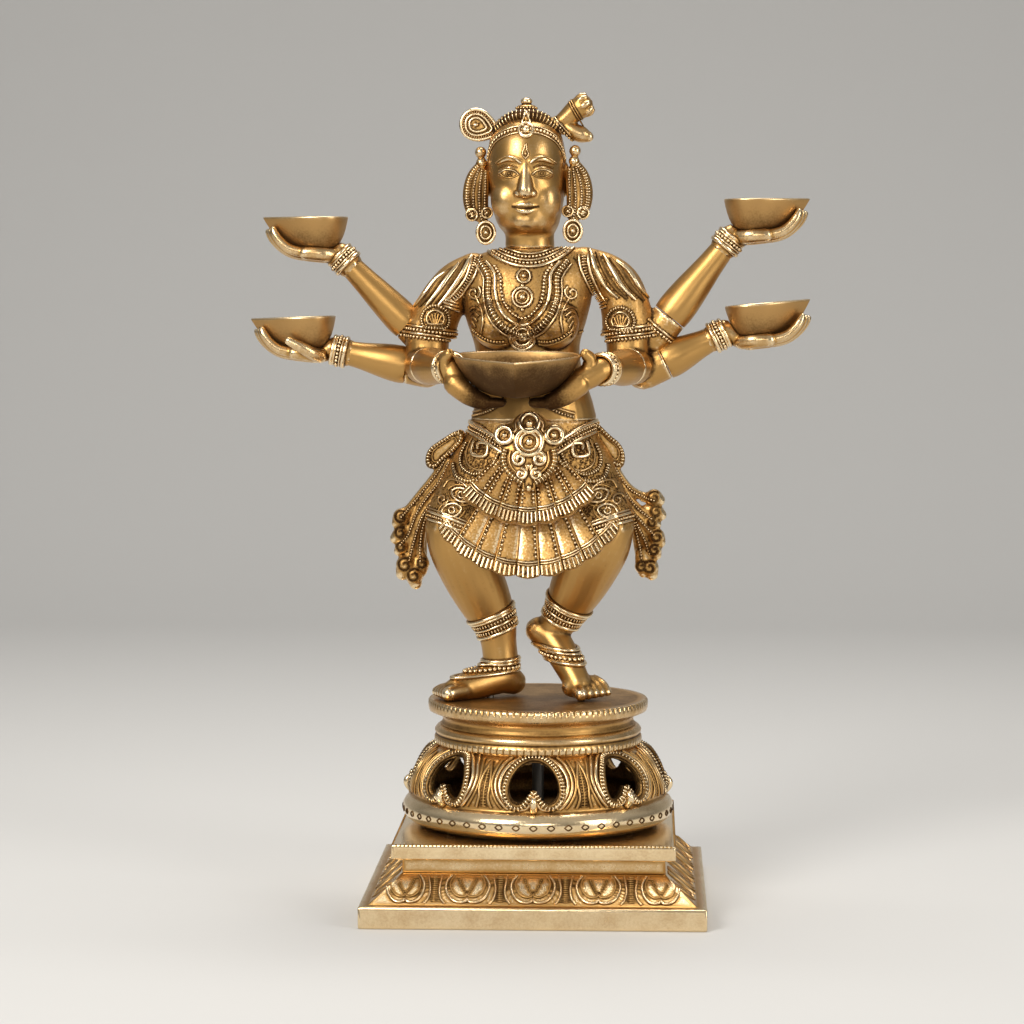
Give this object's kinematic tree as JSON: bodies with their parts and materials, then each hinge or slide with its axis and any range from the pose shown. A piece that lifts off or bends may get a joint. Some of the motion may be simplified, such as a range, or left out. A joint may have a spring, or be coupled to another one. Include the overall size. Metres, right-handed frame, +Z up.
{
  "type": "figural oil lamp",
  "caption": "Brass figure with several arms that holds leaf-shaped oil bowls, on a lotus drum with heart-shaped holes and a stepped square plinth; the bowls lift out.",
  "frame": {"origin": "on the floor under the middle of the whole lamp's box; the middle of the square base is 5.7 mm to the right of it", "axes": "+Z up; the figure faces -Y; +X is the viewer's right"},
  "size_m": [0.3728, 0.223, 0.5334],
  "materials": {
    "cast_brass": "polished cast brass with dark recesses",
    "bowl_brass": "satin brass",
    "pin_steel": "plain steel"
  },
  "bodies": {
    "figure": {"plinth_foot": "cast_brass", "plinth_cap": "cast_brass", "lotus_drum": "cast_brass", "standing_disc": "cast_brass", "tie_rod": "pin_steel", "tie_nut": "pin_steel", "tie_washer": "pin_steel", "foot_studs": "pin_steel", "foot_nuts": "pin_steel", "lower_body": "cast_brass", "apron_lower": "cast_brass", "apron_upper": "cast_brass", "girdle_buckle": "cast_brass", "left_sash": "cast_brass", "right_sash": "cast_brass", "torso": "cast_brass", "head": "cast_brass", "crown_finial": "cast_brass", "hair_paisley": "cast_brass", "hair_knot": "cast_brass", "left_ear_drop": "cast_brass", "right_ear_drop": "cast_brass", "left_front_arm": "cast_brass", "right_front_arm": "cast_brass", "upper_left_forearm": "cast_brass", "lower_left_forearm": "cast_brass", "upper_right_forearm": "cast_brass", "lower_right_forearm": "cast_brass", "upper_left_hand": "cast_brass", "lower_left_hand": "cast_brass", "upper_right_hand": "cast_brass", "lower_right_hand": "cast_brass", "waist_dowel": "pin_steel", "neck_dowel": "pin_steel", "arm_dowels": "pin_steel", "wrist_dowels": "pin_steel"},
    "upper_left_bowl": {"upper_left_bowl": "bowl_brass"},
    "lower_left_bowl": {"lower_left_bowl": "bowl_brass"},
    "upper_right_bowl": {"upper_right_bowl": "bowl_brass"},
    "lower_right_bowl": {"lower_right_bowl": "bowl_brass"},
    "main_bowl": {"main_bowl": "bowl_brass"}
  },
  "joints": [
    {"name": "upper_left_bowl_lift", "type": "slide", "parent": "figure", "child": "upper_left_bowl", "axis": [-0.0052, 0, 1], "range_m": [0, 0.03]},
    {"name": "lower_left_bowl_lift", "type": "slide", "parent": "figure", "child": "lower_left_bowl", "axis": [-0.0349, 0, 0.9994], "range_m": [0, 0.02]},
    {"name": "upper_right_bowl_lift", "type": "slide", "parent": "figure", "child": "upper_right_bowl", "axis": [-0.0052, 0, 1], "range_m": [0, 0.03]},
    {"name": "lower_right_bowl_lift", "type": "slide", "parent": "figure", "child": "lower_right_bowl", "axis": [-0.0872, 0, 0.9962], "range_m": [0, 0.02]},
    {"name": "main_bowl_lift", "type": "slide", "parent": "figure", "child": "main_bowl", "axis": [0, -0.6429, 0.7659], "range_m": [0, 0.045]}
  ]
}
